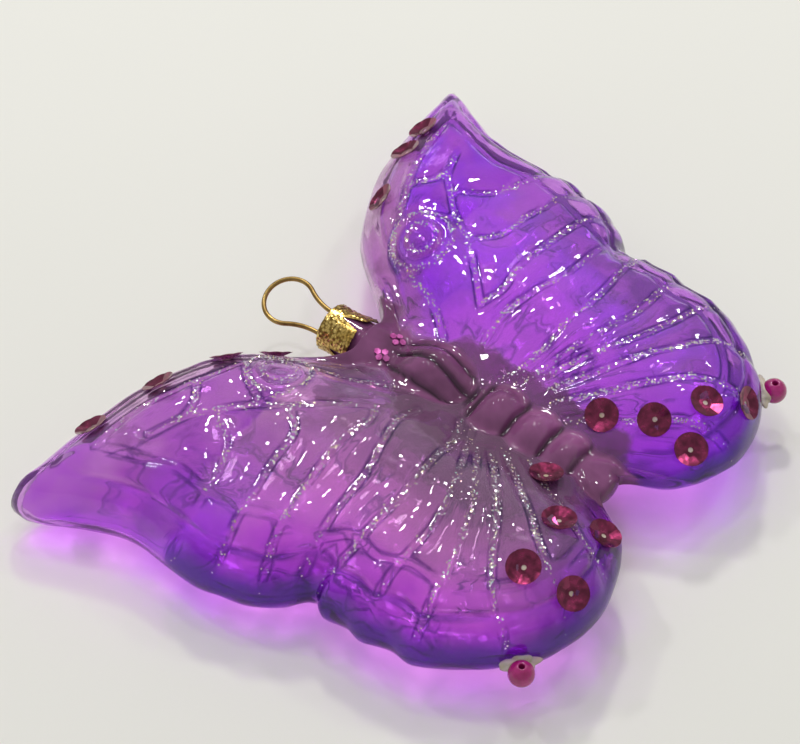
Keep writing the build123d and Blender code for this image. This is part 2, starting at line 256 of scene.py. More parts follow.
veins = {
    # moulded veins of one wing, shares of half the span and of the depth
    "lines": {
        "lead": [(0.11, 0.07), (0.17, 0.12), (0.21, 0.18), (0.24, 0.25), (0.31, 0.29), (0.41, 0.32),
                 (0.52, 0.355), (0.64, 0.385), (0.77, 0.40)],
        "second": [(0.70, 0.33), (0.59, 0.30), (0.52, 0.26), (0.46, 0.22), (0.40, 0.165), (0.33, 0.11), (0.24, 0.05)],
        "crossFront": [(0.36, 0.29), (0.40, 0.26), (0.44, 0.21)],
        "crossTip": [(0.48, 0.34), (0.54, 0.31), (0.60, 0.305)],
        "cellA": [(0.53, 0.265), (0.60, 0.20), (0.72, 0.17), (0.89, 0.17)],
        "cellB": [(0.40, 0.165), (0.46, 0.12), (0.57, 0.11), (0.70, 0.095), (0.88, 0.08)],
        "cellC": [(0.24, 0.05), (0.31, 0.03), (0.42, 0.04), (0.59, 0.03), (0.70, 0.02), (0.83, 0.00)],
        "cellD": [(0.15, 0.00), (0.24, 0.00), (0.34, -0.02), (0.46, -0.04), (0.60, -0.045), (0.76, -0.05)],
        "wingGap": [(0.09, -0.07), (0.18, -0.10), (0.27, -0.11), (0.42, -0.12), (0.59, -0.115), (0.66, -0.11),
                    (0.75, -0.08)],
        "hindA": [(0.10, -0.10), (0.20, -0.135), (0.33, -0.175), (0.47, -0.20), (0.60, -0.20), (0.75, -0.19)],
        "hindB": [(0.16, -0.14), (0.27, -0.19), (0.38, -0.235), (0.50, -0.265), (0.61, -0.28), (0.74, -0.29)],
        "hindC": [(0.14, -0.16), (0.25, -0.225), (0.36, -0.28), (0.47, -0.325), (0.54, -0.36), (0.60, -0.42)],
        "hindD": [(0.11, -0.18), (0.20, -0.25), (0.29, -0.32), (0.37, -0.38), (0.46, -0.485)],
        "hindE": [(0.09, -0.22), (0.15, -0.29), (0.20, -0.36), (0.25, -0.41), (0.29, -0.49)],
        "band": [(0.80, 0.40), (0.76, 0.32), (0.73, 0.25), (0.74, 0.16), (0.72, 0.09), (0.69, 0.03), (0.67, -0.04),
                 (0.62, -0.10), (0.63, -0.16), (0.60, -0.22), (0.60, -0.28), (0.55, -0.34), (0.46, -0.40),
                 (0.36, -0.425), (0.26, -0.42)],
    },
    "padRise": 0.5, "padReach": 4.2, "grooveDepth": 0.5, "grooveWidth": 1.5, "ridgeHeight": 0.4, "ridgeWidth": 0.5,
    "underShare": 0.6, "rimFade": 1.6, "waveFade": 3.0,
    # eyespot rings: radius, width, height
    "eyeShares": (0.320, 0.230), "eyeRings": [(5.6, 0.55, 0.55), (3.0, 0.5, 0.45)], "eyeDome": 0.5, "eyeFade": 1.5,
    "edgeLine": 3.8, "edgeLineDepth": 0.55, "edgeLineWidth": 0.5, "edgeLineStart": 22,
    # surface waves: size and height
    "waves": [(9.0, 0.24), (4.2, 0.17), (2.4, 0.07)],
    # body grooves: along the middle and the sides of the thorax, then place and depth of those across
    "backGroove": (0.10, 0.46, 0.06, 0.7, 0.5), "sideGroove": (2.6, 1.9, 0.5, 0.45),
    "crossGrooves": [(0.44, 0.7), (0.475, 0.6), (0.62, 0.55), (0.76, 0.5), (0.88, 0.4)], "crossWidth": 0.009,
    "grooveShade": 0.45, "grooveRimFade": 3.0, "neckFade": 1.2, "bodyEdge": (0.6, 0.3), "bodyCalm": 0.6,
}
halfSpan = (cadBox[1].x - cadBox[0].x) / 2 / mm
wingSize = np.array([halfSpan, glass["wingDepth"]])
outline = np.array(glass["outlineShares"]) * wingSize
lastRow = len(outline) - 1
frontY, tailY = outline[0][1], outline[-1][1]
rimLow, rimHigh = wingSize * (0, -0.5), wingSize * (1, 0.5)
rim = np.clip(fineLine(outline, 10), rimLow, rimHigh)
veinLines = {name: fineLine(np.array(line) * wingSize) for name, line in veins["lines"].items()}
eyeCentre = np.array(veins["eyeShares"]) * wingSize


def seamHeight(x):
    return -glass["seamDroop"] * (np.abs(x) / halfSpan) ** glass["seamPower"]


def bodyAlong(y):
    return (frontY - y) / (frontY - tailY)


def bodyRise(x, y):
    along = np.clip(bodyAlong(y), 0, 1.15)
    power = glass["lumpPower"]
    lumps = sum((high * bell(along - spot, long)) ** power for spot, long, high in glass["lumpShares"])
    width = glass["bodyWidth"] * (1 - glass["bodyTaperShare"] * along)
    return glass["bodyHeight"] * lumps ** (1 / power) * np.clip(1 - (x / width) ** 2, 0, 1) ** glass["bodyPower"]


def wingRise(x, edgeGap, upper):
    rootShare = glass["crestRootShare"] if upper else glass["bellyRootShare"]
    crest = glass["wingCrest"] if upper else glass["wingBelly"]
    inward = np.clip(edgeGap / glass["marginWidth"], 0, 1)
    fromRoot = rootShare + (1 - rootShare) * ease(np.abs(x) / glass["rootReach"])
    return crest * fromRoot * np.sqrt(1 - (1 - inward) ** 2)


def skinHeight(x, y, edgeGap, upper):
    power = glass["skinPower"]
    body = bodyRise(x, y) * (1 if upper else glass["bellyBodyShare"])
    return (wingRise(x, edgeGap, upper) ** power + body**power) ** (1 / power)


def fanRow(row, along, upper):
    # one line of the fan from the body (along 0) to the wing edge (along 1)
    edge = np.clip(curveThrough(outline, np.array([row])), rimLow, rimHigh)[0]
    span = glass["rootLastShare"] - glass["rootFirstShare"]
    rootShare = glass["rootFirstShare"] + span * (row - 1) / (lastRow - 2)
    rootY = frontY + (tailY - frontY) * rootShare
    start, even = glass["lineStartShare"], glass["lineEvenShare"]
    reach = start * (even * along + (1 - even) * ease(along)) + (1 - start) * np.sin(along * math.pi / 2)
    x = edge[0] * reach
    y = rootY + (edge[1] - rootY) * reach ** glass["fanPower"]
    gap = distanceTo(np.stack([x, y], 1), rim)
    rise = skinHeight(x, y, gap, upper)
    rise[-1] = 0
    return np.stack([x, y, seamHeight(x) + (rise if upper else -rise)], 1)


def endRow(index, height, along, upper):
    turn = along * math.pi / 2
    rise = height * np.cos(turn)
    x = outline[index][0] * np.sin(turn)
    return np.stack([x, np.full_like(x, outline[index][1]), rise if upper else -rise], 1)


def wingRow(row, along, upper):
    if row < 1:
        first = endRow(0, glass["shoulderHeight"], along, upper)
        return first + (fanRow(1, along, upper) - first) * row
    if row > lastRow - 1:
        share = row - lastRow + 1
        last = endRow(-1, glass["tailHeight"], along, upper)
        return fanRow(lastRow - 1, along, upper) * (1 - share) + last * share
    return fanRow(row, along, upper)


def rowPlaces(count, end):
    # rows spread evenly along the rim
    places = np.linspace(0, lastRow, 20 * lastRow + 1)
    line = curveThrough(outline, places)
    run = np.concatenate([[0], np.cumsum(np.hypot(*np.diff(line, axis=0).T))])
    return np.interp(np.linspace(0, run[places <= end][-1], count), run, places)


def ringAt(row):
    # closed ring: top middle, right edge, under middle, left edge
    top = wingRow(row, np.linspace(0, 1, glass["topColumns"] + 1), True)
    under = wingRow(row, np.linspace(0, 1, glass["underColumns"] + 1), False)
    right = np.vstack([top, under[-2::-1]])
    return np.vstack([right, right[-2:0:-1] * (-1, 1, 1)])


rightFlags = [True] * (glass["topColumns"] + 1) + [False] * glass["underColumns"]
topFlags = np.array(rightFlags + rightFlags[-2:0:-1])


def gridNormals(grid):
    around = np.roll(grid, -1, 1) - np.roll(grid, 1, 1)
    along = np.gradient(grid, axis=0)
    normal = np.cross(along, around)
    normal /= np.maximum(np.linalg.norm(normal, axis=2, keepdims=True), 1e-9)
    return normal if normal[len(grid) // 2, 0, 2] > 0 else -normal


def flatGaps(points):
    # distances seen from above: to the rim, to the nearest vein, to the eyespot
    flat = np.stack([np.abs(points[:, 0]), points[:, 1]], 1)
    toVein = np.min([distanceTo(flat, line) for line in veinLines.values()], axis=0)
    return distanceTo(flat, rim), toVein, np.hypot(*(flat - eyeCentre).T)


def bodyShare(points, toRim):
    x, y = points[:, 0], points[:, 1]
    return bodyRise(x, y) / np.maximum(skinHeight(x, y, toRim, True), 0.1)


def wingRelief(points, gaps, onBody):
    toRim, toVein, toEye = gaps
    relief = veins["padRise"] * ease(toVein / veins["padReach"])
    relief -= veins["grooveDepth"] * (1 - ease(toVein / veins["grooveWidth"]))
    relief += veins["ridgeHeight"] * bell(toVein, veins["ridgeWidth"])
    eyeEdge = veins["eyeRings"][0][0]
    relief *= ease((toEye - eyeEdge) / veins["eyeFade"])
    relief += veins["eyeDome"] * (1 - ease(toEye / eyeEdge))
    for radius, width, height in veins["eyeRings"]:
        relief += height * bell(toEye - radius, width)
    lineShare = ease(np.abs(points[:, 0]) / veins["edgeLineStart"])
    relief -= veins["edgeLineDepth"] * bell(toRim - veins["edgeLine"], veins["edgeLineWidth"]) * lineShare
    return relief * ease(toRim / veins["rimFade"]) * (1 - onBody)


def bodyGrooves(points):
    along = bodyAlong(points[:, 1])
    start, end, soft, depth, width = veins["backGroove"]
    thorax = ease((along - start) / soft) * ease((end - along) / soft)
    offset, bow, sideDepth, sideWidth = veins["sideGroove"]
    sideX = offset + bow * np.sin(np.clip((along - start) / (end - start), 0, 1) * math.pi)
    grooves = thorax * (depth * bell(points[:, 0], width) + sideDepth * bell(np.abs(points[:, 0]) - sideX, sideWidth))
    for spot, deep in veins["crossGrooves"]:
        grooves += deep * bell(along - spot, veins["crossWidth"])
    return grooves


def seatOf(node):
    # middle of a glued piece's underside, and its up direction
    points = np.array([v.co for v in nodes[node].data.vertices]) / mm
    centre = points.mean(0)
    up = np.linalg.eigh(np.cov((points - centre).T))[1][:, 0]
    up = up * np.sign(up[2])
    return centre + up * ((points - centre) @ up).min(), up


sequinNodes = [name for name in nodes if name.startswith("sequin_") and "glue" not in name]
sequinSeats = {name: seatOf(name) for name in sequinNodes}


def sinkSeats(outer, top):
    # the skin meets the underside of each sequin's glue
    spread = glass["seatSpread"]
    for foot, up in sequinSeats.values():
        target = foot - up * glass["seatFilm"]
        near = top & (np.hypot(*(outer[:, :2] - target[:2]).T) < 4 * spread)
        fromFoot = np.hypot(*(outer[near, :2] - target[:2]).T)
        lift = np.average(target[2] - outer[near, 2], weights=bell(fromFoot, spread / 4) + 1e-12)
        outer[near, 2] += lift * bell(fromFoot, spread)


def neckRow(radius, y):
    around = len(topFlags)
    spin = np.arange(around) / around * 2 * math.pi
    return np.stack([np.sin(spin) * radius, np.full(around, y), np.cos(spin) * radius + axisHeight], 1)


def tailCap(last):
    rows = []
    for step in range(1, glass["tailRows"] + 1):
        turn = step / glass["tailRows"] * math.pi / 2
        row = last * (1, 1, 1)
        shrink = max(math.cos(turn), 0.02)
        row[:, 0] *= shrink
        row[:, 2] = axisHeight + (row[:, 2] - axisHeight) * shrink
        row[:, 1] -= glass["tailRound"] * math.sin(turn)
        rows.append(row)
    return rows


def outerSkin():
    places = rowPlaces(glass["rows"], lastRow)
    grid = np.array([ringAt(row) for row in places])
    normals = gridNormals(grid)
    flat = grid.reshape(-1, 3)
    top = np.tile(topFlags, len(places))
    gaps = flatGaps(flat)
    bodyStart, bodySoft = veins["bodyEdge"]
    onBody = ease((bodyShare(flat, gaps[0]) - bodyStart) / bodySoft)
    relief = wingRelief(flat, gaps, onBody) * np.where(top, 1, veins["underShare"])
    for size, height in veins["waves"]:
        fade = ease(gaps[0] / veins["waveFade"]) * (1 - veins["bodyCalm"] * onBody)
        relief += height * wobble(flat, size, size) * fade
    relief -= bodyGrooves(flat) * onBody * ease(gaps[0] / veins["grooveRimFade"])
    rows = np.repeat(places, len(topFlags))
    relief *= ease(rows / veins["neckFade"]) * ease(lastRow - rows)
    outer = flat + normals.reshape(-1, 3) * relief[:, None]
    outer[:, 2] += axisHeight
    sinkSeats(outer, top)
    outer[:, 2] = np.clip(outer[:, 2], 0, None)
    return outer.reshape(grid.shape)


def innerSkin():
    grid = np.array([ringAt(row) for row in rowPlaces(glass["innerRows"], glass["hollowEnd"])[1:]])
    grid -= gridNormals(grid) * glass["wall"]
    # the hollow closes in a thin edge along the seam
    end = ringAt(glass["hollowEnd"] + glass["hollowClose"])
    end[:, 2] = seamHeight(end[:, 0]) + np.where(topFlags, 1, -1) * glass["hollowEdge"]
    return np.array([end, *grid[::-1]]) + (0, 0, axisHeight)


def hollowEdgeFaces():
    # strip between the top and the under side of the hollow's thin end
    around, under = len(topFlags), glass["underColumns"]
    faces = []
    for k in range(under):
        corners = [2 * k, 2 * k + 1, 2 * k + 2, around // 2 - k - 1, around // 2 - k]
        right = list(dict.fromkeys(corners))
        faces += [right, [(around - corner) % around for corner in reversed(right)]]
    return faces


def buildGlass(outer):
    # one closed skin: inside of the wings, bore, mouth, neck, outside of the wings, tail
    neckEnd = frontY + glass["neckLength"]
    lip = glass["lip"]
    middle = (glass["neckRadius"] + glass["boreRadius"]) / 2
    bore = [neckRow(glass["boreRadius"], y) for y in np.linspace(frontY, neckEnd - lip, 6)]
    mouth = [neckRow(middle - lip / 2, neckEnd), neckRow(middle + lip / 2, neckEnd)]
    neck = [neckRow(glass["neckRadius"], y) for y in np.linspace(neckEnd - lip, frontY + lip, 8)]
    points = np.array([*innerSkin(), *bore, *mouth, *neck, *outer, *tailCap(outer[-1])])
    rows, around = points.shape[:2]
    tailEnd = [list(range((rows - 1) * around, rows * around))]
    piece = makeMesh("glassButterfly", points.reshape(-1, 3), tubeFaces(rows, around) + hollowEdgeFaces() + tailEnd)

    # masks for the lacquer and for the painted shade, distances in centimetres
    flat = points.reshape(-1, 3)
    x, y = np.abs(flat[:, 0]), flat[:, 1]
    toRim, toVein, toEye = flatGaps(flat)
    toRim = np.where(y > frontY, 0.5 * glass["marginWidth"], toRim)
    neckSoft, neckHalf = glass["neckPaint"]
    neckPart = ease((y - frontY + neckSoft) / neckSoft) * (x < neckHalf)
    paintStart, paintSoft = glass["paintEdge"]
    bodyPart = ease((bodyShare(flat, toRim) - paintStart) / paintSoft)
    leadGap = distanceTo(np.stack([x, y], 1), rim[:glass["leadPoints"]])
    # the painted groove shade also lies beside the eyespot's outer ring
    toEyeShade = glass["eyeShadeGap"] + np.abs(toEye - veins["eyeRings"][0][0])
    setMask(piece, "rimGap", toRim / 10)
    setMask(piece, "veinGap", np.minimum(toVein, toEyeShade) / 10)
    setMask(piece, "bodyPaint", np.maximum(bodyPart, neckPart))
    # painted shade in the body's grooves
    setMask(piece, "bodyGrooveShade", np.clip(bodyGrooves(flat) / veins["grooveShade"], 0, 1) * (y < frontY))
    stainReach = np.where(flat[:, 0] < 0, *glass["stainReach"])
    stained = np.clip(glass["stainFull"] - (x - glass["stainStart"]) / stainReach, 0, 1)
    backEnd, backSoft = glass["stainBack"]
    frontEnd, frontSoft = glass["stainFront"]
    setMask(piece, "rootStain", stained * ease((y + backEnd) / backSoft) * ease((frontEnd - y) / frontSoft))
    leadWidth, leadSoft = glass["paleLead"]
    tipStart, tipSoft = glass["paleTip"]
    setMask(piece, "leadPale", (1 - ease((leadGap - leadWidth) / leadSoft)) * (1 - ease((x - tipStart) / tipSoft)))
    turnStart, turnSoft = glass["tintTurn"]
    setMask(piece, "rightWing", ease((flat[:, 0] + turnStart) / turnSoft))
    print("glass", len(flat), "points")
    return piece


lacquer = {
    # place by distance from the rim in centimetres, left wing tint, right wing tint
    "tints": [(0.0, (0.34, 0.05, 0.58), (0.34, 0.05, 0.62)), (0.12, (0.50, 0.12, 0.76), (0.50, 0.12, 0.80)),
              (0.55, (0.72, 0.30, 0.91), (0.65, 0.22, 0.91)), (1.0, (0.84, 0.51, 0.91), (0.75, 0.35, 0.91)),
              (1.6, (0.87, 0.57, 0.87), (0.79, 0.42, 0.90))],
    # the deep indigo is painted shade for the vein grooves, the edge line and the rim
    "pale": (0.80, 0.54, 0.77), "blotch": (0.48, 0.30, 0.46), "lineShadeColour": (0.08, 0.005, 0.26),
    "stain": (0.22, 0.08, 0.19), "plumDark": (0.14, 0.04, 0.11), "plumLight": (0.36, 0.12, 0.30),
    "grooveShade": (0.035, 0.008, 0.028), "lampTint": (0.86, 0.93, 0.82),
    "roughness": 0.025, "ior": 1.46, "clear": 0.92, "paintHides": 0.5, "stainHides": 0.3, "lampShare": 0.36,
    # noise: scale, detail, roughness
    "mottle": (95, 3.0, 0.6), "blotches": (150, 2.0), "streaks": (130, 4.0, 0.6), "breaks": (110, 2.0),
    "tintDrift": 1.3, "streakDrift": 1.6, "paleShare": 0.8, "plumStops": (0.3, 0.7),
    # ramps: place and strength; the last three place painted shade on the rim, beside the veins and along the edge
    # line
    "blotchStops": [(0.54, 0.0), (0.62, 0.75)], "stainStops": [(0.45, 0.0), (0.62, 0.85)],
    "breakStops": [(0.44, 0.0), (0.56, 1.0)], "rimShade": [(0.04, 0.95), (0.15, 0.0)],
    "veinShade": [(0.045, 0.0), (0.07, 0.8), (0.085, 0.8), (0.115, 0.0)],
    "edgeLineShade": [(0.33, 0.0), (0.36, 0.75), (0.39, 0.75), (0.43, 0.0)],
    "ripple": (420, 1.0), "rippleStrength": 0.07, "rippleHeight": 0.0004,
}


def shadeLines(tree):
    # painted shade in the grooves beside the veins and along the edge line, broken up by noise, and painted shade on
    # the rim where the glass is seen edge-on
    breaks = ramp(tree, grain(tree, *lacquer["breaks"]), lacquer["breakStops"])
    byVein = ramp(tree, maskNode(tree, "veinGap"), lacquer["veinShade"])
    rimGap = maskNode(tree, "rimGap")
    byEdge = ramp(tree, rimGap, lacquer["edgeLineShade"])
    byRim = ramp(tree, rimGap, lacquer["rimShade"])
    broken = calc(tree, "MULTIPLY", calc(tree, "MAXIMUM", byVein, byEdge), breaks)
    return calc(tree, "MAXIMUM", broken, byRim)


def glassMaterial():
    material, tree, shader = newMaterial("violetGlass")
    mottle = grain(tree, *lacquer["mottle"])
    shift = calc(tree, "MULTIPLY", calc(tree, "SUBTRACT", mottle, 0.5), lacquer["tintDrift"])
    deepest = lacquer["tints"][-1][0]
    depth = calc(tree, "DIVIDE", calc(tree, "ADD", maskNode(tree, "rimGap"), shift), deepest)
    leftTint, rightTint = (
        ramp(tree, depth, [(stop[0] / deepest, stop[side]) for stop in lacquer["tints"]]) for side in (1, 2)
    )
    tint = mixColour(tree, maskNode(tree, "rightWing"), leftTint, rightTint)
    paleLead = calc(tree, "MULTIPLY", maskNode(tree, "leadPale"), lacquer["paleShare"])
    tint = mixColour(tree, paleLead, tint, lacquer["pale"])
    blotches = ramp(tree, grain(tree, *lacquer["blotches"]), lacquer["blotchStops"])
    tint = mixColour(tree, calc(tree, "MULTIPLY", maskNode(tree, "leadPale"), blotches), tint, lacquer["blotch"])
    # painted shade in the grooves and on the rim
    tint = mixColour(tree, shadeLines(tree), tint, lacquer["lineShadeColour"])
    uneven = calc(tree, "SUBTRACT", grain(tree, *lacquer["streaks"]), 0.5)
    streak = calc(tree, "MULTIPLY", uneven, lacquer["streakDrift"])
    stain = ramp(tree, calc(tree, "ADD", maskNode(tree, "rootStain"), streak), lacquer["stainStops"])
    tint = mixColour(tree, stain, tint, lacquer["stain"])
    paint = maskNode(tree, "bodyPaint")
    plum = ramp(tree, mottle, list(zip(lacquer["plumStops"], (lacquer["plumDark"], lacquer["plumLight"]))))
    # painted shade darkens the plum in the body's grooves
    plum = mixColour(tree, maskNode(tree, "bodyGrooveShade"), plum, lacquer["grooveShade"])
    colour = mixColour(tree, paint, tint, plum)
    wire(tree, colour, shader.inputs["Base Color"])
    shader.inputs["Roughness"].default_value = lacquer["roughness"]
    shader.inputs["IOR"].default_value = lacquer["ior"]
    hidden = calc(tree, "ADD", calc(tree, "MULTIPLY", paint, lacquer["paintHides"]),
                  calc(tree, "MULTIPLY", stain, lacquer["stainHides"]))
    wire(tree, calc(tree, "SUBTRACT", lacquer["clear"], hidden), shader.inputs["Transmission Weight"])
    addBump(tree, shader, grain(tree, *lacquer["ripple"]), lacquer["rippleStrength"], lacquer["rippleHeight"])
    # lamps shine through the glass and tint the table
    through = tree.nodes.new("ShaderNodeBsdfTransparent")
    wire(tree, mixColour(tree, lacquer["lampShare"], colour, lacquer["lampTint"]), through.inputs["Color"])
    pick = tree.nodes.new("ShaderNodeMixShader")
    wire(tree, tree.nodes.new("ShaderNodeLightPath").outputs["Is Shadow Ray"], pick.inputs["Fac"])
    wire(tree, shader.outputs["BSDF"], pick.inputs[1])
    wire(tree, through.outputs["BSDF"], pick.inputs[2])
    wire(tree, pick.outputs["Shader"], tree.nodes["Material Output"].inputs["Surface"])
    return material


skin = outerSkin()
skinNormals = gridNormals(skin)
butterfly = buildGlass(skin)
butterfly.data.materials.append(glassMaterial())
place(butterfly, "butterfly", "glass_shell")


# silver glitter along the veins and eyespots
glitter = {
    # flakes on each vein of one wing
    "lines": {"lead": 230, "second": 110, "crossFront": 30, "crossTip": 45, "cellA": 60, "cellB": 110, "cellC": 150,
              "cellD": 110, "wingGap": 170, "hindA": 100, "hindB": 150, "hindC": 230, "hindD": 190, "hindE": 120},
    # radius of an eyespot ring and its flakes
    "rings": [(5.6, 170), (3.0, 70)], "ringSpread": 0.35,
    "spread": 0.36, "radius": (0.10, 0.20), "thickness": 0.03, "tilt": 0.3, "sit": 0.04, "seed": 11,
    "bunching": (1.3, 1.5), "strayLimit": 1.5, "steepLimit": 0.05, "dropLimit": 0.25,
    "metallic": 0.75, "roughness": 0.2,
    "colours": [(0.0, (0.95, 0.95, 0.97)), (0.40, (0.90, 0.88, 0.92)), (0.55, (0.97, 0.87, 0.55)),
                (0.72, (0.95, 0.90, 0.72)), (0.82, (0.95, 0.66, 0.86)), (0.92, (0.66, 0.90, 0.82)),
                (1.0, (0.97, 0.97, 1.0))],
}


def glitterPlaces(draw):
    places = []
    for side in (-1, 1):
        for name, count in glitter["lines"].items():
            line = veinLines[name]
            for _ in range(count):
                spot = line[min(int(draw.betavariate(*glitter["bunching"]) * len(line)), len(line) - 1)]
                x, y = (value + draw.gauss(0, glitter["spread"]) for value in spot)
                places.append((side * x, y))
        for radius, count in glitter["rings"]:
            for _ in range(count):
                turn = draw.uniform(0, 2 * math.pi)
                far = radius + draw.gauss(0, glitter["ringSpread"])
                places.append((side * (eyeCentre[0] + far * math.cos(turn)), eyeCentre[1] + far * math.sin(turn)))
    return places


def hexFlake(centre, up, radius, spin):
    side, other = acrossOf(up)
    turns = spin + np.arange(6) * math.pi / 3
    ring = centre + radius * (np.cos(turns)[:, None] * side + np.sin(turns)[:, None] * other)
    half = up * glitter["thickness"] / 2
    return np.vstack([ring + half, ring - half])


def buildGlitter():
    draw = random.Random(glitter["seed"])
    topPart = skin[:, topFlags].reshape(-1, 3)
    topNormals = skinNormals[:, topFlags].reshape(-1, 3)
    points, faces, shades = [], [], []
    for x, y in glitterPlaces(draw):
        nearest = np.argmin((topPart[:, 0] - x) ** 2 + (topPart[:, 1] - y) ** 2)
        foot, up = topPart[nearest], topNormals[nearest]
        lean = up + np.array([draw.gauss(0, glitter["tilt"]) for _ in range(3)])
        radius, spin, shade = draw.uniform(*glitter["radius"]), draw.uniform(0, 3), draw.random()
        if abs(foot[0] - x) + abs(foot[1] - y) > glitter["strayLimit"] or up[2] < glitter["steepLimit"]:
            continue
        drop = ((x - foot[0]) * up[0] + (y - foot[1]) * up[1]) / max(up[2], glitter["dropLimit"])
        centre = np.array([x, y, foot[2] - drop]) + up * glitter["sit"]
        start = len(points)
        points.extend(hexFlake(centre, lean / np.linalg.norm(lean), radius, spin))
        faces += [range(start, start + 6), range(start + 11, start + 5, -1)]
        for k in range(6):
            after = (k + 1) % 6
            faces.append([start + k, start + 6 + k, start + 6 + after, start + after])
        shades.append(shade)
    piece = makeMesh("glitterFlakes", points, faces, smooth=False)
    setMask(piece, "flakeShade", np.repeat(shades, 12))
    print("glitter", len(shades), "flakes")
    return piece


def glitterMaterial():
    material, tree, shader = newMaterial("silverGlitter")
    wire(tree, ramp(tree, maskNode(tree, "flakeShade"), glitter["colours"]), shader.inputs["Base Color"])
    shader.inputs["Metallic"].default_value = glitter["metallic"]
    shader.inputs["Roughness"].default_value = glitter["roughness"]
    return material


sparkle = buildGlitter()
sparkle.data.materials.append(glitterMaterial())
place(sparkle, "butterfly")


# cup sequins with flat facets, a round rim and a centre hole
sequin = {
    "radius": 3.0, "hole": 0.45, "flat": 1.11, "depth": 0.8, "thickness": 0.1, "facets": 8, "around": 48, "seed": 3,
    "dark": (0.13, 0.008, 0.04), "bright": (0.33, 0.03, 0.115), "metallic": 0.85, "rough": 0.2,
}


def sequinProfile(turn):
    # radius and height at one place round the cup: hole, crease of the flat centre, rim
    step = 2 * math.pi / sequin["facets"]
    lean = math.cos((turn % step) - step / 2)
    rise = sequin["depth"] * (sequin["radius"] * lean - sequin["flat"]) / (sequin["radius"] - sequin["flat"])
    return [(sequin["hole"], 0), (sequin["flat"] / lean, 0), (sequin["radius"], rise)]


def buildSequin(name, draw):
    foot, up = sequinSeats[name]
    side, other = acrossOf(up)
    spin = draw.uniform(0, 2 * math.pi)
    columns = []
    for turn in np.arange(sequin["around"]) / sequin["around"] * 2 * math.pi:
        outward = math.cos(turn + spin) * side + math.sin(turn + spin) * other
        under = [foot + radius * outward + rise * up for radius, rise in sequinProfile(turn)]
        columns.append(under + [point + sequin["thickness"] * up for point in reversed(under)])
    grid = np.array(columns).transpose(1, 0, 2)
    rows = np.concatenate([grid, grid[:1]])
    faces = np.array(tubeFaces(len(rows), sequin["around"])) % (grid.shape[0] * grid.shape[1])
    piece = makeMesh(name.replace("sequin_", "cupSequin_"), grid.reshape(-1, 3), faces, smooth=False)
    place(piece, "butterfly", name)
    return piece


foil = {
    "spots": (700, 2.0), "roughShares": (0.7, 1.5), "coat": 0.5, "coatRough": 0.08,
    "dents": (450, 1.0), "dentStrength": 0.25, "dentHeight": 0.0003,
}


def foilMaterial(name, dark, bright, metallic, rough):
    material, tree, shader = newMaterial(name)
    spots = grain(tree, *foil["spots"])
    wire(tree, ramp(tree, spots, [(0.35, dark), (0.7, bright)]), shader.inputs["Base Color"])
    smoothPart, dullPart = (rough * share for share in foil["roughShares"])
    wire(tree, ramp(tree, spots, [(0.3, smoothPart), (0.7, dullPart)]), shader.inputs["Roughness"])
    shader.inputs["Metallic"].default_value = metallic
    shader.inputs["Coat Weight"].default_value = foil["coat"]
    shader.inputs["Coat Roughness"].default_value = foil["coatRough"]
    addBump(tree, shader, grain(tree, *foil["dents"]), foil["dentStrength"], foil["dentHeight"])
    return material


sequinFoil = foilMaterial("sequinFoil", sequin["dark"], sequin["bright"], sequin["metallic"], sequin["rough"])
sequinDraw = random.Random(sequin["seed"])
for name in sequinNodes:
    buildSequin(name, sequinDraw).data.materials.append(sequinFoil)
print("sequins made:", len(sequinNodes))


# foil eyes and the glue dots keep their solids
eyes = {"dark": (0.50, 0.06, 0.32), "bright": (0.75, 0.18, 0.55), "metallic": 0.6, "rough": 0.25}
glue = {
    "cloudy": (0.80, 0.68, 0.44), "clear": (0.93, 0.88, 0.74), "transmission": 0.45, "roughness": 0.2, "ior": 1.45,
    "haze": (500, 2.0), "pits": (900, 2.0), "pitStrength": 0.35, "pitHeight": 0.0004,
    # lump of glue at a bead: half sizes along the edge, outward and upward, roughness of its shape
    "lump": (3.3, 1.5, 1.25), "lumpShift": 0.15, "wobble": 0.32, "wobbleSize": 1.1, "rows": 26, "around": 36,
    "lumpEnd": 0.05,
}


def glueMaterial():
    material, tree, shader = newMaterial("clearGlue")
    haze = ramp(tree, grain(tree, *glue["haze"]), [(0.3, glue["cloudy"]), (0.7, glue["clear"])])
    wire(tree, haze, shader.inputs["Base Color"])
    shader.inputs["Roughness"].default_value = glue["roughness"]
    shader.inputs["IOR"].default_value = glue["ior"]
    shader.inputs["Transmission Weight"].default_value = glue["transmission"]
    addBump(tree, shader, grain(tree, *glue["pits"]), glue["pitStrength"], glue["pitHeight"])
    return material


def dress(node, material):
    node.data.materials.clear()
    node.data.materials.append(material)


clearGlue = glueMaterial()
eyeFoil = foilMaterial("eyeFoil", eyes["dark"], eyes["bright"], eyes["metallic"], eyes["rough"])
for name, node in nodes.items():
    if name.startswith("sequin_glue"):
        dress(node, clearGlue)
    elif name.startswith("eye_flakes"):
        dress(node, eyeFoil)
print("eyes and glue dots dressed")


# round tail beads with a drilled hole, and the lump of glue that holds each one
bead = {
    "radius": 2.3, "hole": 0.5, "lip": 0.22, "around": 64, "profile": 40, "dimple": 0.05, "dimpleSize": 0.55,
    "dark": (0.32, 0.006, 0.11), "bright": (0.60, 0.02, 0.27), "roughness": 0.24, "transmission": 0.15,
    "skinShare": 0.995, "cloud": (350, 3.0, 0.6), "coat": 0.5,
    "pits": (1500, 2.0), "pitStrength": 0.4, "pitHeight": 0.0002,
}


def beadAxis(node):
    # centre of the bead, and the direction of its hole
    points = np.array([v.co for v in nodes[node].data.vertices]) / mm
    centre = (points.min(0) + points.max(0)) / 2
    onHole = points[np.linalg.norm(points - centre, axis=1) < bead["radius"] * bead["skinShare"]]
    axis = np.linalg.svd(onHole - centre)[2][0] if len(onHole) > 4 else np.array([0, 0, 1.0])
    return centre, axis * np.sign(axis[2])


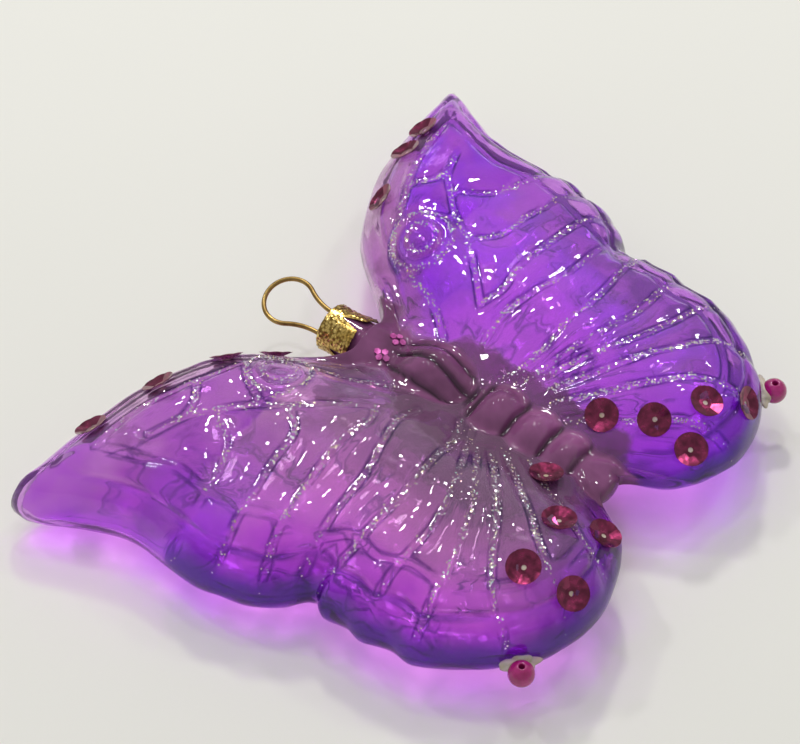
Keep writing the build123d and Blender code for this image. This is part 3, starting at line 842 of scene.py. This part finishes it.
def beadProfile():
    radius, hole, lip = bead["radius"], bead["hole"], bead["lip"]
    start = math.asin((hole + lip) / radius)
    angles = np.linspace(start, math.pi - start, bead["profile"])
    skinLine = [(radius * math.sin(angle), radius * math.cos(angle)) for angle in angles]
    drop = radius * math.cos(start) - lip * 0.9
    lipLine = [(hole + lip * 0.3, drop + lip * 0.6), (hole, drop)]
    holeLine = [(hole, z) for z in np.linspace(-drop, drop, 6)[1:-1]]
    return skinLine + [(r, -z) for r, z in lipLine] + holeLine + lipLine[::-1]


def buildBead(node):
    centre, axis = beadAxis(node)
    side, other = acrossOf(axis)
    profile = beadProfile()
    spins = np.arange(bead["around"]) / bead["around"] * 2 * math.pi
    outward = np.cos(spins)[:, None] * side + np.sin(spins)[:, None] * other
    rows = np.array([centre + r * outward + z * axis for r, z in profile])
    flat = rows.reshape(-1, 3)
    away = (flat - centre) / np.linalg.norm(flat - centre, axis=1, keepdims=True)
    onSkin = np.repeat(np.arange(len(profile)) < bead["profile"], bead["around"])
    dimples = np.abs(wobble(flat - centre, bead["dimpleSize"], 4)) * bead["dimple"] * onSkin
    closed = np.array(tubeFaces(len(profile) + 1, bead["around"])) % len(flat)
    piece = makeMesh(node.replace("tail_bead", "bead"), flat - away * dimples[:, None], closed)
    place(piece, "butterfly", node)
    return piece


def beadMaterial():
    material, tree, shader = newMaterial("fuchsiaBead")
    cloud = grain(tree, *bead["cloud"])
    wire(tree, ramp(tree, cloud, [(0.3, bead["dark"]), (0.7, bead["bright"])]), shader.inputs["Base Color"])
    shader.inputs["Roughness"].default_value = bead["roughness"]
    shader.inputs["Transmission Weight"].default_value = bead["transmission"]
    shader.inputs["Coat Weight"].default_value = bead["coat"]
    addBump(tree, shader, grain(tree, *bead["pits"]), bead["pitStrength"], bead["pitHeight"])
    return material


def buildGlueLump(sideName):
    # an uneven lump squeezed out on both sides of the bead
    node = "bead_glue_" + sideName
    low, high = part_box(node)
    middle = np.array((low + high) / 2) / mm
    centre = beadAxis("tail_bead_" + sideName)[0]
    outward = (centre - middle) * (1, 1, 0)
    outward /= np.linalg.norm(outward)
    along = np.array([-outward[1], outward[0], 0])
    halfAlong, halfOut, halfUp = glue["lump"]
    rows = []
    for turn in np.linspace(glue["lumpEnd"], math.pi - glue["lumpEnd"], glue["rows"]):
        spins = np.arange(glue["around"]) / glue["around"] * 2 * math.pi
        ring = np.cos(spins)[:, None] * outward * halfOut + np.sin(spins)[:, None] * np.array([0, 0, halfUp])
        rows.append(along * halfAlong * math.cos(turn) + ring * math.sin(turn))
    flat = np.array(rows).reshape(-1, 3)
    swell = 1 + glue["wobble"] * wobble(flat + middle, glue["wobbleSize"], 2)
    flat = middle + flat * swell[:, None] + outward * glue["lumpShift"]
    index = np.arange(len(flat)).reshape(glue["rows"], glue["around"])
    ends = [index[0][::-1].tolist(), index[-1].tolist()]
    piece = makeMesh("glueLump_" + sideName, flat, tubeFaces(glue["rows"], glue["around"]) + ends)
    place(piece, "butterfly", node)
    return piece


beadGloss = beadMaterial()
for sideName in ("left", "right"):
    buildBead("tail_bead_" + sideName).data.materials.append(beadGloss)
    buildGlueLump(sideName).data.materials.append(clearGlue)
print("beads and their glue made")


# stamped cap with a nugget texture and four petals
cap = {
    "fit": 0.08, "wall": 0.3, "dome": 1.1, "grip": 3.0, "flare": 0.6, "notchHalf": 1.3, "notchLength": 4.6,
    "petals": 4, "around": 176, "crownRows": 22, "skirtRows": 38, "nugget": 0.75, "nuggetHeight": 0.18,
    "ragged": 0.25, "seed": 5, "notchPower": 0.75, "nuggetEdge": 0.45, "nuggetPower": 1.5,
    "crownReach": 4, "weld": 0.00002,
    "cells": 1900, "patina": (400, 3.0, 0.6), "roughness": [(0.3, 0.34), (0.7, 0.2)],
    "dent": -0.5, "dentHeight": 0.0003,
    "shade": (0.28, 0.17, 0.04), "worn": (0.62, 0.40, 0.10), "bright": (0.92, 0.68, 0.24),
}
capTopY, capRimY = capHigh.y / mm, capLow.y / mm
capInner = glass["neckRadius"] + cap["fit"]


def capRadius(y):
    # outer radius of the cap, from the crown to the flared rim
    radius = capInner + cap["wall"]
    gripY = capTopY - cap["dome"] - cap["grip"]
    if y > capTopY - cap["dome"]:
        sphere = (radius**2 + cap["dome"] ** 2) / (2 * cap["dome"])
        return min(math.sqrt(max(0, sphere**2 - (sphere - (capTopY - y)) ** 2)), radius)
    return radius + cap["flare"] * max(0, (gripY - y) / (gripY - capRimY))


def capLine(turn, draw):
    # heights down one line of the cap, which ends at the ragged edge of a petal or in a notch
    petalTurn = (turn * cap["petals"] / (2 * math.pi)) % 1 - 0.5
    fromNotch = (0.5 - abs(petalTurn)) * 2 * math.pi / cap["petals"] * (capInner + cap["flare"])
    notch = cap["notchLength"] * max(0, 1 - fromNotch / cap["notchHalf"]) ** cap["notchPower"]
    low = capRimY + min(notch + cap["ragged"] * draw.random(), cap["notchLength"])
    skirtTop = capTopY - cap["dome"]
    crown = capTopY - cap["dome"] * (np.arange(cap["crownRows"]) / cap["crownRows"]) ** 2
    return [*crown, *np.linspace(skirtTop, low, cap["skirtRows"] + 1)]


def buildCap():
    draw = random.Random(cap["seed"])
    outer, inner = [], []
    for column in range(cap["around"]):
        turn = column / cap["around"] * 2 * math.pi
        outward = np.array([math.sin(turn), 0, math.cos(turn)])
        for y in capLine(turn, draw):
            radius = capRadius(y)
            drop = cap["wall"] if radius < capInner else 0
            outer.append(outward * radius + (0, y, axisHeight))
            inner.append(outward * max(radius - cap["wall"], 0.001) + (0, y - drop, axisHeight))
    outer, inner = np.array(outer), np.array(inner)
    away = outer - (0, capTopY - cap["crownReach"], axisHeight)
    away[:, 1] = np.clip(away[:, 1], 0, None)
    away /= np.maximum(np.linalg.norm(away, axis=1, keepdims=True), 1e-6)
    lumps = np.array([noise.voronoi(Vector(p) / cap["nugget"])[0][0] for p in outer])
    sunk = np.clip(lumps / cap["nuggetEdge"], 0, 1) ** cap["nuggetPower"]
    outer -= away * (cap["nuggetHeight"] * sunk)[:, None]
    count = len(outer)
    grid = np.arange(count).reshape(cap["around"], -1)
    ahead = np.roll(grid, -1, 0)
    skins = np.stack([grid[:, :-1], grid[:, 1:], ahead[:, 1:], ahead[:, :-1]], 2).reshape(-1, 4)
    rimFaces = np.stack([grid[:, -1], grid[:, -1] + count, ahead[:, -1] + count, ahead[:, -1]], 1)
    faces = [*skins.tolist(), *(skins[:, ::-1] + count).tolist(), *rimFaces.tolist()]
    piece = makeMesh("petalCap", np.vstack([outer, inner]), faces)
    piece.modifiers.new("weldCrown", "WELD").merge_threshold = cap["weld"]
    place(piece, "cap", "hanger_cap")
    return piece


def goldMaterial():
    material, tree, shader = newMaterial("crackledGold")
    lumps = cells(tree, cap["cells"])
    patina = grain(tree, *cap["patina"])
    bright = ramp(tree, patina, [(0.3, cap["worn"]), (0.65, cap["bright"])])
    valleys = ramp(tree, lumps, [(0.35, 0.0), (0.7, 1.0)])
    wire(tree, mixColour(tree, valleys, bright, cap["shade"]), shader.inputs["Base Color"])
    wire(tree, ramp(tree, patina, cap["roughness"]), shader.inputs["Roughness"])
    shader.inputs["Metallic"].default_value = 1.0
    addBump(tree, shader, lumps, cap["dent"], cap["dentHeight"])
    return material


buildCap().data.materials.append(goldMaterial())
print("cap made")


# bent wire hanger keeps its solid
brass = {
    "dark": (0.22, 0.13, 0.04), "bright": (0.52, 0.35, 0.12), "roughness": [(0.3, 0.42), (0.7, 0.26)],
    "wear": (260, 3.0, 0.6), "drawn": (2500, 1.0), "drawnStrength": 0.15, "drawnHeight": 0.0001,
}


def brassMaterial():
    material, tree, shader = newMaterial("brassWire")
    wear = grain(tree, *brass["wear"])
    wire(tree, ramp(tree, wear, [(0.3, brass["dark"]), (0.7, brass["bright"])]), shader.inputs["Base Color"])
    wire(tree, ramp(tree, wear, brass["roughness"]), shader.inputs["Roughness"])
    shader.inputs["Metallic"].default_value = 1.0
    addBump(tree, shader, grain(tree, *brass["drawn"]), brass["drawnStrength"], brass["drawnHeight"])
    return material


dress(nodes["hanger_wire"], brassMaterial())
print("wire dressed")


# table, lights and camera
studio = {
    "tableSize": 4.0, "paperGrain": (6, 2.0), "paperRough": 0.7, "sensor": 36,
    "paper": [(0.3, (0.79, 0.785, 0.735)), (0.7, (0.81, 0.805, 0.755))],
    "lens": 116.4, "cameraPlace": (-0.2377, -0.1732, 0.3638), "azimuth": -52.2, "elevation": 49.6, "roll": 0.1,
    # place, width, watts, colour, seen in reflections
    "lamps": [
        ((0.50, 0.42, 0.80), 0.10, 2.6, (1, 0.98, 0.95), True),
        ((0.05, 0.70, 0.95), 0.09, 1.4, (1, 1, 1), True),
        ((0.75, -0.15, 0.85), 0.09, 1.0, (1, 1, 1), True),
        ((0.34, 0.24, 1.05), 0.08, 1.0, (1, 1, 1), True),
        ((0.10, 0.25, 1.20), 1.00, 2.6, (1, 1, 1), False),
    ],
    "sky": (1.0, 1.0, 0.985), "skyStrength": 0.41,
}


def paleTable():
    half = studio["tableSize"] / 2 / mm
    corners = [(-half, -half, 0), (half, -half, 0), (half, half, 0), (-half, half, 0)]
    table = makeMesh("paleTable", corners, [(0, 1, 2, 3)])
    material, tree, shader = newMaterial("palePaper")
    wire(tree, ramp(tree, grain(tree, *studio["paperGrain"]), studio["paper"]), shader.inputs["Base Color"])
    shader.inputs["Roughness"].default_value = studio["paperRough"]
    table.data.materials.append(material)


def placeLamps():
    for number, (spot, width, watts, colour, shown) in enumerate(studio["lamps"]):
        lamp = bpy.data.lights.new(f"softLamp{number}", "AREA")
        lamp.shape = "DISK"
        lamp.size = width
        lamp.energy = watts
        lamp.color = colour
        holder = bpy.data.objects.new(lamp.name, lamp)
        holder.location = spot
        holder.rotation_euler = (-Vector(spot)).to_track_quat("-Z", "Y").to_euler()
        holder.visible_glossy = shown
        holder.visible_transmission = shown
        bpy.context.scene.collection.objects.link(holder)
    sky = bpy.data.worlds.new("softSky")
    sky.use_nodes = True
    back = sky.node_tree.nodes["Background"]
    back.inputs["Color"].default_value = (*studio["sky"], 1)
    back.inputs["Strength"].default_value = studio["skyStrength"]
    bpy.context.scene.world = sky


def placeCamera():
    turn, rise, roll = (math.radians(studio[key]) for key in ("azimuth", "elevation", "roll"))
    back = Vector((math.sin(turn) * math.cos(rise), -math.cos(turn) * math.cos(rise), math.sin(rise)))
    level = Vector((math.cos(turn), math.sin(turn), 0))
    upright = back.cross(level)
    right = math.cos(roll) * level + math.sin(roll) * upright
    up = math.cos(roll) * upright - math.sin(roll) * level
    camera = bpy.data.cameras.new("photoCamera")
    camera.sensor_fit = "HORIZONTAL"
    camera.sensor_width = studio["sensor"]
    camera.lens = studio["lens"]
    holder = bpy.data.objects.new("photoCamera", camera)
    facing = Matrix((right, up, back)).transposed().to_4x4()
    holder.matrix_world = Matrix.Translation(studio["cameraPlace"]) @ facing
    bpy.context.scene.collection.objects.link(holder)
    bpy.context.scene.camera = holder


paleTable()
placeLamps()
placeCamera()
bpy.context.scene.view_settings.view_transform = "Standard"
print("table, lights and camera placed")

bpy.context.view_layer.update()
